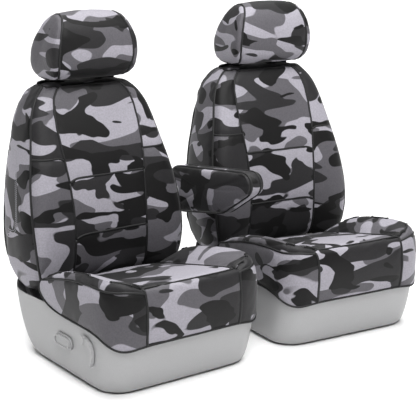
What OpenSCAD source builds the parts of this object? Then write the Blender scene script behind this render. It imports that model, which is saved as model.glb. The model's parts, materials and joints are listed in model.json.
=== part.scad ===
/* [Pair of seats] */
// Clear width between the two backrests
between_backs = 90; // [85:1:200]
// Turn of the right seat toward the left one, in degrees
right_turn = 6; // [0:0.5:7]
// How far the right seat stands forward of the left one
right_forward = 13; // [0:1:60]

/* [Covers] */
// Thickness of the padded cover fabric
cover_t = 5; // [3:0.5:7]
// Gap at the seam between two panels
seam_gap = 0.4; // [0.2:0.1:0.8]

/* [Cushion] */
// Width of the covered cushion
cushion_w = 536; // [500:2:560]
// Distance of the cushion's front face in front of the floor bolts' middle
cushion_front = 279; // [260:1:300]
// Height of the seam along the cushion's front edge
cushion_edge_z = 312; // [300:1:330]
// Slope of the seat panel down to the rear, in degrees
cushion_slope = 12; // [8:0.5:14]
// Half of the width of the seat panel between its seams
seat_panel_half = 155; // [130:1:165]
// Rise of the side bolsters above the front edge
bolster_rise = 18; // [8:1:24]
// Radius of the cushion's front corners
cushion_corner_r = 100; // [80:1:120]

/* [Backrest] */
// Width of the covered backrest at its widest
back_w = 570; // [540:2:590]
// Height of the backrest from its lower edge to its top seam
back_h = 597; // [570:1:640]
// How far the front of the backrest leans back over its height
back_run = 115; // [90:1:130]
// Thickness of the padded front, from its face to the steel frame
back_pad = 128; // [118:1:136]
// Reach of the backrest's rear panel behind the recliner shaft
back_reach = 113; // [105:1:125]

/* [Headrest] */
// Width of the covered headrest
headrest_w = 300; // [270:2:330]
// Height of the covered headrest
headrest_h = 200; // [180:1:220]
// Depth of the covered headrest
headrest_d = 165; // [150:1:175]
// Gap between the backrest and the lowered headrest
headrest_gap = 3; // [2:0.5:12]
// Distance between the two headrest posts
post_spacing = 140; // [120:1:160]
// Radius of a headrest post
post_r = 6; // [5:0.5:7]

/* [Armrest] */
// Width of the covered armrest
armrest_w = 62; // [50:1:66]
// Distance from the armrest's pivot to the middle of its rounded front
armrest_reach = 342; // [280:1:360]
// Radius of the armrest's rear end, around its pivot
armrest_rear_r = 75; // [60:1:80]
// Radius of the armrest's front end
armrest_front_r = 38; // [28:1:45]
// Radius of the armrest's pivot pin
armrest_pin_r = 9; // [7:0.5:11]

/* [Base] */
// Wall of the plastic base shroud
shroud_t = 4; // [3:0.5:5]
// Gap between the floor and the shroud
floor_gap = 5; // [3:0.5:8]
// Distance between the middles of a seat's two floor rails
rail_spacing = 400; // [360:2:404]
// Length of a floor rail
rail_l = 236; // [220:2:250]
// Distance between the floor bolts along a rail
bolt_spacing = 190; // [160:2:200]
// Radius of the floor bolts' holes
bolt_hole_r = 5.5; // [4.5:0.5:6.5]
// Radius of the recliner shaft
shaft_r = 9; // [7:0.5:11]

/* [Hidden] */
PIECES = ["floor_rails", "slide_runners", "seat_frame", "base_shroud", "cushion_foam", "cushion_tuck_rod",
          "cushion_seat_panel", "cushion_bolster_panels", "cushion_welt_strips", "cushion_side_panels",
          "cushion_front_panel", "recliner_brackets", "recliner_shaft", "back_frame", "back_foam",
          "back_insert_panels", "back_bolster_panels", "back_side_panels", "back_rear_panel",
          "headrest_guides", "headrest_posts", "headrest_core", "headrest_wrap", "headrest_end_panels",
          "recline_lever", "lumbar_knob"];
$fn = 48;

// Clearances: between soft pieces, beside a moving pin, between rigid pieces that touch
soft_gap = 0.8;
pin_gap = 0.05;
touch = 0.3;

// Heights and places that the driving sizes give
rail_h = 20;
frame_z = 58;
pan_z = 136;
hem_z = 181;
front_hem_z = 151;
shroud_rim_z = 200;
shroud_low_rim_z = 188;
back_z = 195;
back_face = 160;
pivot_y = 300;
pivot_z = 262;
back_top_z = back_z + back_h;
cap_t = cover_t + 1;
post_lean = 6;
post_y = pivot_y + 55;
guide_z = back_top_z + cap_t + touch;
flange_r = 14;
flange_t = 2.5;
flange_lift = 1.6;
headrest_z = guide_z + flange_lift + flange_t + flange_r * sin(6) + headrest_gap;
headrest_y = 223;
armrest_x = back_w / 2 + 4;
armrest_pivot_y = 232;
armrest_pivot_z = 432;
seat_pitch = back_w + between_backs;
cushion_half = cushion_w / 2;
shroud_half = cushion_half - cover_t - 1.5;
bracket_x = 226;
bracket_t = 6;
camo_light = "#a5a3ab";
camo_mid = "#6b6a6c";
camo_dark = "#3b3a3a";
shroud_grey = "#b4b4b4";
steel = "#9a9a9c";

// ---- Curves and points ----

function mix(a, b, q) = a + (b - a) * q;
function unit(v) = v / norm(v);
function flip(p) = [-p.x, p.y, p.z];

// Smooth curve through stations, each [position, value], at t
function curve(k, t, i = 0) = i < len(k) - 2 && t > k[i + 1][0] ? curve(k, t, i + 1) : hermite(k, i, t);
function slope(k, i) = let (a = max(i - 1, 0), b = min(i + 1, len(k) - 1))
    (k[b][1] - k[a][1]) / (k[b][0] - k[a][0]);
function hermite(k, i, t) = let (h = k[i + 1][0] - k[i][0], s = (t - k[i][0]) / h)
    k[i][1] * (1 + 2 * s) * (1 - s) ^ 2 + slope(k, i) * h * s * (1 - s) ^ 2
    + k[i + 1][1] * s ^ 2 * (3 - 2 * s) + slope(k, i + 1) * h * s ^ 2 * (s - 1);

// Points of an arc about c, from angle a to angle b in n steps
function arc(c, r, a, b, n) = [for (i = [0:n]) c + r * [cos(mix(a, b, i / n)), sin(mix(a, b, i / n))]];

// Angle at which a line touches two circles on one side: side is 1 or -1
function tangent(c, r, d, s, side) = let (v = d - c) atan2(v.y, v.x) - side * acos((r - s) / norm(v));

// ---- Closed solids made of grids of points ----

// Two triangles for each cell between rows of n points, from row a to row b
function band(a, b, n) = [for (j = [0:n - 2]) each [[a + j, a + j + 1, b + j + 1], [a + j, b + j + 1, b + j]]];
function wrap(a, b, n) = [for (j = [0:n - 1]) let (k = (j + 1) % n)
    each [[a + j, a + k, b + k], [a + j, b + k, b + j]]];
function swap(faces) = [for (f = faces) [for (i = [len(f) - 1:-1:0]) f[i]]];

// Sheet between an outer and an inner grid of the same rows and columns
function sheet(outer, inner) = let (r = len(outer), c = len(outer[0]), m = r * c,
    left = [for (i = [0:r - 1]) i * c], right = [for (i = left) i + c - 1])
    [[each [for (row = outer) each row], each [for (row = inner) each row]],
     [for (i = [0:r - 2]) each band(i * c, (i + 1) * c, c),
      for (i = [0:r - 2]) each swap(band(m + i * c, m + (i + 1) * c, c)),
      each swap(band(0, m, c)), each band((r - 1) * c, m + (r - 1) * c, c),
      for (i = [0:r - 2]) each [[left[i], left[i + 1], m + left[i + 1]], [left[i], m + left[i + 1], m + left[i]]],
      for (i = [0:r - 2]) each [[right[i], m + right[i + 1], right[i + 1]],
                                [right[i], m + right[i], m + right[i + 1]]]]];

// Loft through closed rings; with ends joined it is a tube wall, otherwise a fan of triangles caps each end
function middle(ring) = [for (p = ring) 1] * ring / len(ring);
function loft(rings, joined = false) = let (n = len(rings[0]), m = len(rings), last = (m - 1) * n)
    [[each [for (ring = rings) each ring], if (!joined) middle(rings[0]), if (!joined) middle(rings[m - 1])],
     [for (i = [0:m - (joined ? 1 : 2)]) each wrap(i * n, ((i + 1) % m) * n, n),
      if (!joined) each [for (i = [0:n - 1]) [(i + 1) % n, i, m * n]],
      if (!joined) each [for (i = [0:n - 1]) [last + i, last + (i + 1) % n, m * n + 1]]]];

function mirrored(s) = [[for (p = s[0]) flip(p)], swap(s[1])];

// One node's separate closed solids
module solids(list) {
    starts = [for (i = 0, k = 0; i < len(list); k = k + len(list[i][0]), i = i + 1) k];
    polyhedron([for (s = list) each s[0]],
               [for (i = [0:len(list) - 1], f = list[i][1]) [for (v = f) v + starts[i]]], convexity = 8);
}

// Outward normals of a grid, from the cells around each point
function grid_normals(g) = let (r = len(g) - 1, c = len(g[0]) - 1)
    [for (i = [0:r]) [for (j = [0:c]) unit(cross(g[min(i + 1, r)][j] - g[max(i - 1, 0)][j],
                                                  g[i][min(j + 1, c)] - g[i][max(j - 1, 0)]))]];
function inset(g, n, t) = [for (i = [0:len(g) - 1]) [for (j = [0:len(g[0]) - 1]) g[i][j] - t * n[i][j]]];
function part_of(g, rows, cols) = [for (i = [rows[0]:rows[1]]) [for (j = [cols[0]:cols[1]]) g[i][j]]];

// Draw the edges of a grid in by half the seam gap
function toward(p, q) = p + unit(q - p) * seam_gap / 2;
function trim_row(row) = let (n = len(row) - 1)
    [for (j = [0:n]) j == 0 ? toward(row[0], row[1]) : j == n ? toward(row[n], row[n - 1]) : row[j]];
function turned(g) = [for (j = [0:len(g[0]) - 1]) [for (i = [0:len(g) - 1]) g[i][j]]];
function trimmed(g) = turned([for (row = turned([for (row = g) trim_row(row)])) trim_row(row)]);

// Cover panel: the part of a surface grid between two rows and two columns, one cover thick. Its first row is squared
// to the middle plane where end is true, or takes end as its normal
function panel(g, rows, cols, end = undef) = let (m = grid_normals(g),
    n = [for (i = [0:len(m) - 1]) end == undef || i > 0 ? m[i] : [for (v = m[0]) is_list(end) ? end : unit([0, v.y, v.z])]])
    sheet(trimmed(part_of(g, rows, cols)), trimmed(part_of(inset(g, n, cover_t), rows, cols)));

// ---- Cushion surface ----

// Rows run from the front seam to the rear: the corner in steps, then along the side
corner_steps = 4;
side_y = [-100, -20, 60, 110];
cushion_rows = corner_steps + len(side_y) + 2;
seat_rear = 184;
seam_rear = seat_rear - 10;
bolster_rear = 140;
corner_y = cushion_corner_r - cushion_front;

// Plan outline of the cushion's side wall at row k, drawn in by d; the bolster is corner_w wide at the front
corner_w = 9;
function outline(k, d = 0) = let (r = cushion_corner_r - d, c = [cushion_half - cushion_corner_r, corner_y])
    k == 0 ? [seat_panel_half + corner_w, c.y - r]
    : k <= corner_steps ? c + r * [sin(90 * k / corner_steps), -cos(90 * k / corner_steps)]
    : [cushion_half - d, k == cushion_rows - 1 ? bolster_rear : side_y[k - corner_steps - 1]];

function seat_z(y) = cushion_edge_z - (y + cushion_front - 33) * tan(cushion_slope);
bolster_k = [[0, 0], [1, .85], [2, 1.05], [3, 1.05], [4, .98], [5, .8], [6, .1], [7, -1], [8, -2.1], [9, -2.8]];
function crest_z(k) = cushion_edge_z + bolster_rise * bolster_k[k][1];
hem_drop = [0, -9, -10, 8, 30, 30, 30, 33, 46, 72];

// Wall rows from hem to crest: share of the height, how far in
wall_up = [0, .32, .62, .88, 1];
wall_in = [0, 0, 0, 9, 30];
welt_row = 3;
crest_row = 4;
function wall(k, v) = let (d = wall_in[v] + (v == 0 ? 8 * max(0, 1 - k / 3) : 0), p = outline(k, d),
    up = v == welt_row ? mix(.97, wall_up[v], min(1, k / 3)) : wall_up[v],
    lo = front_hem_z + hem_drop[k])
    [p.x, p.y, mix(lo, crest_z(k), up)];

// Seam between a bolster and the seat panel at row k
function seam(k) = let (y = outline(k, wall_in[crest_row]).y,
    q = (y + cushion_front) / (bolster_rear + cushion_front), s = y + (seam_rear - bolster_rear) * q ^ 3)
    [seat_panel_half, s, seat_z(s)];
function ramp(k, q) = let (a = wall(k, crest_row), b = seam(k)) [mix(a.x, b.x, q), mix(a.y, b.y, q ^ 3),
    mix(b.z, a.z, cos(90 * q) ^ 0.8)];
side_grid = [for (k = [0:cushion_rows - 1]) [for (v = [0:crest_row]) wall(k, v), ramp(k, 1 / 3), ramp(k, 2 / 3),
                                             seam(k)]];

// Front panel and seat panel share one grid, from the front hem over the edge to the rear
seat_shares = [1, 0.5, 0, -0.5, -1];
function front_row(v) = [for (s = seat_shares) let (p = wall(0, v)) [p.x * s, p.y - 3 * (1 - s * s), p.z]];
function seat_row(k) = let (p = seam(k)) [for (s = seat_shares) 
    [p.x * s, p.y + (seat_rear - seam_rear) * (1 - s * s) * (k / 9) ^ 3, p.z + 4 * (1 - s * s) * min(1, k / 2)]];
// The seat panel starts at the bolsters' seams, and the front panel reaches past their front ends
function crest_ends(half) = [for (p = front_row(crest_row)) abs(p.x) > seat_panel_half ? [sign(p.x) * half, p.y, p.z] : p];
function middle_grid(half) = [for (v = [0:crest_row - 1]) front_row(v), crest_ends(half),
                              for (k = [1:cushion_rows - 1]) seat_row(k)];
flap_y = seat_rear + 3;
flap_drop = 62;
flap_rows = [for (drop = [24, flap_drop]) [for (s = seat_shares)
    [seat_panel_half * s, flap_y, seat_z(seat_rear) - drop]]];

// ---- Backrest surface ----

// Levels up the backrest as shares of its height; the insert's seams lie on two of them
back_levels = [0, .03, .08, .155, .27, .42, .5655, .665, .76, .85, .925, .975, 1];
low_seam = 4;
high_seam = 6;
diagonal_seam = 7;
rear_start = 3;
half_width_k = [[0, .865], [.033, .915], [.083, .945], [.15, .985], [.25, 1], [.42, .94], [.57, .872], [.71, .80],
                [.81, .755], [.88, .715], [.94, .645], [.98, .56], [1, .49]];
face_k = [[0, .55], [.03, .36], [.083, .155], [.155, .06], [.27, 0], [.41, .06], [.5655, .2], [.665, .34],
          [.83, .66], [1, 1.03]];
bolster_face_k = [[0, .3], [.03, .1], [.083, -.03], [.155, -.09], [.27, -.11], [.41, -.05], [.5655, .12],
                  [.71, .4], [.81, .62], [.93, .89], [1, 1.12]];
insert_half_k = [[0, .475], [.083, .463], [.27, .449], [.41, .455], [.5655, .48], [.665, .508], [.83, .526], [1, .49]];
roll_k = [[0, 50], [.25, 60], [.41, 58], [.57, 50], [.71, 44], [.88, 34], [1, 24]];
seam_angle_k = [[0, 60], [.25, 54], [.37, 38], [.48, 20], [.57, 10], [1, 8]];
rear_k = [[0, -.22], [.033, .17], [.075, .36], [.15, .44], [.25, .52], [.36, .68], [.47, .82], [.57, .93],
          [.7, .985], [.81, 1], [.9, .985], [.97, .93], [1, .83]];
rear_corner_r = 38;

// Right half of the backrest's outline at level t, from the front middle to the rear middle
insert_end = 2;
outer_seam = 6;
rear_seam = 10;
half_count = 13;
function back_half(t) = let (
    w = back_w / 2 * curve(half_width_k, t), wi = back_w / 2 * curve(insert_half_k, t),
    yi = back_face + back_run * curve(face_k, t), yb = back_face + back_run * curve(bolster_face_k, t),
    r = curve(roll_k, t), a = curve(seam_angle_k, t), rear = pivot_y + back_reach * curve(rear_k, t),
    rc = min(rear_corner_r * min(1, .6 + 3 * t), (rear - yb - r) / 2), c = [w - r, yb + r], e = [w - 3 - rc, rear - rc], s = min(wi, w - r - 8))
    [[0, yi - 2], [s / 2, yi - 1.5], [s, yi],
     [mix(s, w - r, .45), mix(yi, yb, .75)], [w - r, yb],
     c + r * [cos(-45 - a / 2), sin(-45 - a / 2)], c + r * [cos(a), -sin(a)],
     [w, yb + r], [w - 1, mix(yb + r, rear - rc, .5)], e + rc * [1, 0],
     e + rc * [sin(45), cos(45)], e + rc * [0, 1], [e.x / 2, rear + 1], [0, rear + 2]];
function back_ring(t) = let (h = back_half(t), z = back_z + back_h * t)
    [for (p = h) [p.x, p.y, z], for (i = [half_count - 1:-1:1]) [-h[i].x, h[i].y, z]];
back_n = 2 * half_count;

// The backrest as a grid whose columns run once round it, with the front middle at mid_col
function column(i) = (i + back_n) % back_n;
back_grid = [for (t = back_levels) let (ring = back_ring(t)) [for (i = [half_count + 1:-1:-half_count - 1])
             ring[column(i)]]];
mid_col = half_count + 1;
function back_panel(rows, cols) = panel(back_grid, rows, [mid_col - cols[1], mid_col - cols[0]]);

// ---- Headrest surface ----

// Side profile of the headrest in shares of its depth and height, clockwise from the bottom front, and how far the
// wrap's crown reaches at each of its points
head_profile = [[.36, 0], [.22, .035], [.11, .115], [.045, .23], [0, .42], [.01, .62], [.06, .82], [.19, .95],
                [.38, 1], [.54, .975], [.68, .87], [.83, .67], [.96, .43], [1, .22], [.985, .09], [.9, 0]];
head_crown = [0, .4, 1, 1, 1, 1, 1, 1, 1, 1, 1, 1, 1, 1, .5, 0];
head_half_k = [[0, .87], [.18, .975], [.42, 1], [.65, .945], [.77, .895], [.87, .83], [1, .73]];
head_middle = [headrest_d * .5, headrest_h * .45];
// Profile at x, drawn in by d, shrunk toward its middle and crowned
function head_ring(x, d, shrink = 0, crown = 0) =
    let (q = [for (p = head_profile) mix([p.x * headrest_d, p.y * headrest_h], head_middle, shrink)])
    [for (i = [0:15]) let (t = unit(q[(i + 1) % 16] - q[(i + 15) % 16]),
                           p = q[i] + (d - crown * head_crown[i]) * [t.y, -t.x])
        [x * curve(head_half_k, max(0, min(1, p.y / headrest_h))), headrest_y + p.x, headrest_z + p.y]];
head_dome = 13;
head_seam = headrest_w / 2 - head_dome;
head_end = [[0, 0], [.5, .05], [.85, .18], [1, .48]];
function head_end_rings(d, gap) = [for (e = head_end)
    head_ring(head_seam + gap + (head_dome - gap - d) * e[0], d, e[1])];
function crown_at(s) = 6 * (1 - s ^ 4);

// ---- Small builders ----

module rod(p, q, r) {
    v = q - p;
    translate(p) rotate([0, acos(v.z / norm(v)), atan2(v.y, v.x)]) cylinder(h = norm(v), r = r);
}
module both() {
    children();
    mirror([1, 0, 0]) children();
}
module across(x, y, z, l, r) translate([x, y, z]) rotate([0, 90, 0]) cylinder(h = l, r = r);
module tube_across(x, y, z, l, r, bore) translate([x, y, z]) rotate([0, 90, 0]) difference() {
    cylinder(h = l, r = r);
    translate([0, 0, -1]) cylinder(h = l + 2, r = bore);
}

// ---- Floor rails and runners ----

rail_w = 44;
rail_t = 3;
foot_w = 34;
runner_w = 30;
runner_top = frame_z - touch;
module floor_rails() color(steel) both() translate([rail_spacing / 2, 0, 0]) difference() {
    union() {
        difference() {
            translate([-rail_w / 2, -rail_l / 2, 0]) cube([rail_w, rail_l, rail_h]);
            translate([rail_t - rail_w / 2, -rail_l, rail_t]) cube([rail_w - 2 * rail_t, 2 * rail_l, rail_h]);
        }
        for (s = [-1, 1]) translate([-rail_w / 2 - foot_w + 1, s * bolt_spacing / 2 - 18, 0])
            cube([foot_w, 36, rail_t]);
    }
    for (s = [-1, 1]) translate([-rail_w / 2 - foot_w / 2, s * bolt_spacing / 2, -1])
        cylinder(h = rail_t + 2, r = bolt_hole_r);
}
runner_l = rail_l + 120;
module slide_runners() color("#7d8084") both() translate([rail_spacing / 2, 0, 0]) difference() {
    translate([-runner_w / 2, -runner_l / 2, rail_t + touch]) cube([runner_w, runner_l, runner_top - rail_t - touch]);
    translate([rail_t - runner_w / 2, -runner_l, -rail_t]) cube([runner_w - 2 * rail_t, 2 * runner_l, runner_top]);
}

// ---- Seat frame: side members, cross tubes and pan ----

member_y = [-210, 266];
member_w = 26;
member_x = bracket_x - touch - member_w;
tube_r = 11;
module seat_frame() color(steel) {
    both() difference() {
        translate([member_x, member_y[0], frame_z]) cube([member_w, member_y[1] - member_y[0], pan_z - frame_z - 3]);
        translate([member_x - 1, member_y[0] + 30, frame_z + 14])
            cube([member_w - 2, member_y[1] - member_y[0] - 60, pan_z - frame_z - 30]);
    }
    for (y = [member_y[0] + 15, member_y[1] - 15]) across(-member_x - 1, y, frame_z + 40, 2 * member_x + 2, tube_r);
    difference() {
        translate([-member_x - member_w, member_y[0], pan_z - 3]) cube([2 * (member_x + member_w), 420, 3]);
        for (x = [-1, 1], y = [-120, 0, 120]) translate([x * 100, y, pan_z - 5]) cylinder(h = 8, r = 30);
    }
}

// ---- Base shroud ----

// Plan outline of the shroud, drawn in by d, clockwise from the front middle
function shroud_ring(z, x, front, rear, r, d) = let (w = x - d, a = max(r - d, 4), b = max(r * .6 - d, 4))
    [for (p = [[0, -front + d], each arc([w - a, -front + d + a], a, -90, 0, 5), [w, mix(-front, rear, .5)],
               [w, mix(-front, rear, .72)], [w, mix(-front, rear, .84)], each arc([w - b, rear - d - b], b, 0, 90, 4),
               [0, rear - d], each [for (q = concat(arc([w - b, rear - d - b], b, 90, 0, 4),
               [[w, mix(-front, rear, .84)], [w, mix(-front, rear, .72)], [w, mix(-front, rear, .5)]],
               arc([w - a, -front + d + a], a, 0, -90, 5))) [-q.x, q.y]]])
        [p.x, p.y, z == undef ? rim_z(p.y) : z]];
shroud_rear = pivot_y + 43;
function rim_z(y) = y < 130 ? shroud_rim_z : y < 180 ? mix(shroud_rim_z, shroud_low_rim_z, (y - 130) / 50)
    : mix(shroud_low_rim_z, pivot_z - 34, max(0, min(1, (y - pivot_y + 5) / 46)) ^ 1.6);
shroud_front = cushion_front - cover_t - 14;
// Levels from the floor up: height, half width, front, rear, corner radius
shroud_levels = [[floor_gap, -18, -44, -121, 74], [floor_gap + 9, -9, -36, -100, 84], [floor_gap + 27, -4, -27, -74, 90],
                 [64, -1, -17, -50, 92], [110, 0, -6, -28, 92], [150, 0, 0, -14, 92]];
function shroud_wall(d) = [for (s = shroud_levels) shroud_ring(s[0], shroud_half + s[1], shroud_front + s[2],
                            shroud_rear + s[3], s[4], d),
                           shroud_ring(undef, shroud_half, shroud_front, shroud_rear, 92, d)];
module base_shroud() color(shroud_grey) let (inner = shroud_wall(shroud_t), outer = shroud_wall(0))
    solids([loft(concat([for (i = [len(outer) - 1:-1:0]) outer[i]], inner), joined = true)]);

// ---- Cushion pieces ----

// Closed ring round the cushion for the foam at wall row v, drawn in by d; its rear edge lies at height rear_z
foam_d = cover_t + soft_gap;
foam_rear = seat_rear - 6;
pad_d = foam_d + 3;
function round_foam(half, rear) = [for (s = [-.5, 0, .5]) [half[0].x * s, half[0].y, half[0].z], each half, each rear,
                                   for (k = [len(half) - 1:-1:0]) flip(half[k])];
function foam_ring(v, d, rear_z, drop = 0) = round_foam(
    [for (k = [0:cushion_rows - 1]) let (p = outline(k, wall_in[v] + d)) [p.x, min(p.y, bolster_rear - 2), wall(k, v).z - drop]],
    [for (s = [1, 0, -1]) [seat_panel_half * s, foam_rear - 9 * s * s, rear_z]]);
// Level ring inside the shroud, or over its rim
function level_ring(z, d, front) = let (f = front / (cushion_front - d)) round_foam(
    [for (k = [0:cushion_rows - 1]) let (p = outline(k, d)) [p.x, min(p.y * (p.y < 0 ? f : 1), bolster_rear - 2), z]],
    [for (s = [1, 0, -1]) [seat_panel_half * s, foam_rear - 9 * s * s, z]]);
function foam_top() = let (front = -cushion_front + 40, rear = seam_rear - 6) round_foam(
    [for (k = [0:cushion_rows - 1]) let (p = seam(k), y = mix(front, rear, (p.y + cushion_front - 33)
        / (seam_rear + cushion_front - 33))) [p.x - 4.5, y, seat_z(y) - pad_d - 1]],
    [for (s = [.9, 0, -.9]) [seat_panel_half * s, rear + 2, seat_z(rear + 2) - pad_d - 1]]);
module cushion_foam() color("#d8d2b8") let (d = cushion_half - shroud_half + shroud_t + 3, rim = shroud_rim_z + touch,
    top = seat_z(seat_rear))
    solids([loft([foam_top(), foam_ring(4, pad_d + 2, top - 13, pad_d + 6), foam_ring(3, pad_d + 2, top - 15, 2),
                  foam_ring(2, pad_d, rim + 4), level_ring(rim + 2, pad_d, cushion_front - pad_d),
                  level_ring(rim, d, shroud_front - shroud_t - 4),
                  level_ring(pan_z + touch, d, shroud_front - shroud_t - 4)])]);
rod_r = 7;
module cushion_tuck_rod() color(camo_dark) across(-seat_panel_half + 15, foam_rear + soft_gap + rod_r,
    seat_z(seat_rear) - flap_drop - rod_r - soft_gap - 1, 2 * seat_panel_half - 30, rod_r);
module cushion_seat_panel() color(camo_mid) let (g = concat(middle_grid(seat_panel_half), flap_rows))
    solids([panel(g, [crest_row, len(g) - 1], [0, 4])]);
module cushion_bolster_panels() color(camo_dark) let (
    p = panel(side_grid, [0, cushion_rows - 1], [crest_row, crest_row + 3], end = [0, -.35, .94]))
    solids([p, mirrored(p)]);
module cushion_welt_strips() color(camo_light) let (p = panel(side_grid, [0, cushion_rows - 1], [welt_row, crest_row], end = true))
    solids([p, mirrored(p)]);
module cushion_side_panels() color(camo_mid) let (p = panel(side_grid, [0, cushion_rows - 1], [0, welt_row], end = true))
    solids([p, mirrored(p)]);
module cushion_front_panel() color(camo_light) solids([panel(middle_grid(seat_panel_half + corner_w), [0, crest_row], [0, 4])]);

// ---- Recliner ----

plate_r = 26;
module recliner_brackets() color(steel) both() translate([bracket_x, 0, 0]) difference() {
    union() {
        across(0, pivot_y, pivot_z, bracket_t, plate_r);
        rotate([90, 0, 90]) linear_extrude(bracket_t) polygon([
            [pivot_y + plate_r, pivot_z], [pivot_y + plate_r - 3, pivot_z - 44], [member_y[1] + 4, pan_z + 14],
            [member_y[1] + 4, frame_z + 20], [member_y[1] - 44, frame_z + 20], [member_y[1] - 44, pan_z - 3],
            [pivot_y - plate_r, pan_z + 50], [pivot_y - plate_r, pivot_z]]);
    }
    across(-1, pivot_y, pivot_z, bracket_t + 2, shaft_r + pin_gap);
}
module recliner_shaft() color("#8a8d90") across(-bracket_x - bracket_t - 4, pivot_y, pivot_z,
                                                2 * (bracket_x + bracket_t + 4), shaft_r);

// ---- Backrest frame ----

hoop_top = [post_spacing / 2 + 85, post_y - 5, back_top_z - 50];
hoop_foot = [bracket_x - touch - 14, pivot_y, pivot_z + 21];
socket_r = 14;
guide_r = 10;
post_dir = [0, sin(post_lean), cos(post_lean)];
function post_at(x, z) = [x, post_y + (z - guide_z) * tan(post_lean), z];
module along_post(x, z) translate(post_at(x, z)) rotate([-post_lean, 0, 0]) children();
module back_frame() color(steel) difference() {
    union() {
        both() {
            rod(hoop_foot, hoop_top, tube_r);
            translate(hoop_top) sphere(r = tube_r + .6);
            across(bracket_x - touch - 8, pivot_y, pivot_z, 8, plate_r);
        }
        across(-hoop_top.x, hoop_top.y, hoop_top.z, 2 * hoop_top.x, tube_r - .6);
        across(-hoop_foot.x, pivot_y, pivot_z + 60, 2 * hoop_foot.x, tube_r - 3);
        for (q = [.3, .5, .7]) let (p = mix(hoop_foot, hoop_top, q)) across(-p.x, p.y + 4, p.z, 2 * p.x, 3);
        both() along_post(post_spacing / 2, hoop_top.z - 22) cylinder(h = 44, r = socket_r);
    }
    both() along_post(post_spacing / 2, hoop_top.z - 40) cylinder(h = 80, r = guide_r + pin_gap);
    across(-bracket_x - 20, pivot_y, pivot_z, 2 * bracket_x + 40, shaft_r + pin_gap);
}

// Foam in front of the frame, drawn in from the cover, cut off by the plane of the frame
function foam_plane(z) = mix(hoop_foot.y, hoop_top.y, (z - hoop_foot.z) / (hoop_top.z - hoop_foot.z)) - tube_r - 7;
foam_levels = [11:-1:1];
foam_half = bracket_x - 14;
function back_foam_ring(i, n) = let (z = back_grid[i][0].z, y = foam_plane(z),
    p = [for (j = [mid_col:-1:mid_col - outer_seam - 1]) let (v = n[i][j], q = back_grid[i][j] - pad_d / (1 - v.z * v.z) * v)
         [z < pivot_z + 60 ? min(q.x, foam_half) : q.x, min(q.y, y - 2), z]], e = p[len(p) - 1])
    [each p, for (s = [1, 0, -1]) [(e.x - 4) * s, y, z], for (j = [len(p) - 1:-1:1]) flip(p[j])];
module back_foam() color("#d8d2b8") let (n = grid_normals(back_grid))
    solids([loft([for (i = foam_levels) back_foam_ring(i, n)])]);

// ---- Backrest covers ----

module back_insert_panels() color(camo_mid) solids([
    back_panel([0, low_seam], [-insert_end, insert_end]),
    back_panel([low_seam, high_seam], [-insert_end, insert_end]),
    back_panel([high_seam, len(back_levels) - 1], [-insert_end, insert_end])]);
module back_bolster_panels() color(camo_light) let (
    low = back_panel([0, diagonal_seam], [insert_end, outer_seam]),
    high = back_panel([diagonal_seam, len(back_levels) - 1], [insert_end, outer_seam]))
    solids([low, high, mirrored(low), mirrored(high)]);
module back_side_panels() color(camo_dark) let (p = back_panel([0, len(back_levels) - 1], [outer_seam, rear_seam]))
    solids([p, mirrored(p)]);
rear_grid = [for (t = back_levels) let (ring = back_ring(t)) 
    [for (i = [back_n - rear_seam + 1:-1:rear_seam - 1]) ring[i]]];
module back_rear_panel() color("#2b2b2b") {
    solids([panel(rear_grid, [rear_start, len(back_levels) - 1], [1, back_n - 2 * rear_seam + 1])]);
    difference() {
        translate([0, 0, back_top_z + touch]) linear_extrude(cap_t - touch)
            polygon([for (p = back_ring(1)) [p.x, p.y]]);
        both() along_post(post_spacing / 2, back_top_z) translate([0, 0, -10]) cylinder(h = 30, r = guide_r + 1);
    }
}

// ---- Headrest ----

module headrest_guides() color("#262626") both() along_post(post_spacing / 2, guide_z) difference() {
    union() {
        translate([0, 0, -75]) cylinder(h = 75 + flange_lift + 1, r = guide_r);
        translate([0, 0, flange_lift]) cylinder(h = flange_t, r = flange_r);
    }
    translate([0, 0, -80]) cylinder(h = 90, r = post_r + pin_gap);
}
post_below = 135;
post_above = headrest_gap + 74;
module headrest_posts() color("#b9bcc0") {
    both() {
        rod(post_at(post_spacing / 2, guide_z - post_below), post_at(post_spacing / 2, guide_z + post_above), post_r);
        translate(post_at(post_spacing / 2, guide_z + post_above)) sphere(r = post_r + .4);
    }
    let (p = post_at(post_spacing / 2, guide_z + post_above)) across(-p.x, p.y, p.z, 2 * p.x, post_r - .4);
}
module headrest_core() color("#d8d2b8") let (e = head_end_rings(pad_d, 0))
    solids([loft([for (i = [3:-1:0]) [for (p = e[i]) flip(p)],
                  for (s = [-.5, 0, .5]) head_ring(head_seam * s, pad_d, 0, crown_at(s)), each e])]);
wrap_x = [-1, -.5, 0, .5, 1];
wrap_end = [post_y - post_r - 9 - headrest_y, 0];
function head_sheet(d) = [for (i = [15:-1:-1]) [for (s = wrap_x) let (r = head_ring(head_seam * s, d, 0, crown_at(s)))
    i < 0 ? [r[0].x, headrest_y + wrap_end.x, r[0].z] : r[i]]];
module headrest_wrap() color(camo_mid) solids([panel(head_sheet(0), [1, 16], [0, 4])]);
module headrest_end_panels() color(camo_light) let (o = head_end_rings(0, seam_gap), n = head_end_rings(cover_t, seam_gap),
    cup = loft([for (i = [3:-1:0]) n[i], each o])) solids([cup, mirrored(cup)]);

// ---- Armrest ----

arm_c = [[armrest_pivot_y, armrest_pivot_z], [armrest_pivot_y - armrest_reach * .97, armrest_pivot_z + armrest_reach * .215],
         [armrest_pivot_y - armrest_reach * .6, armrest_pivot_z + 20]];
arm_r = [armrest_rear_r, armrest_front_r, (armrest_rear_r + armrest_front_r) * .53];
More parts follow.
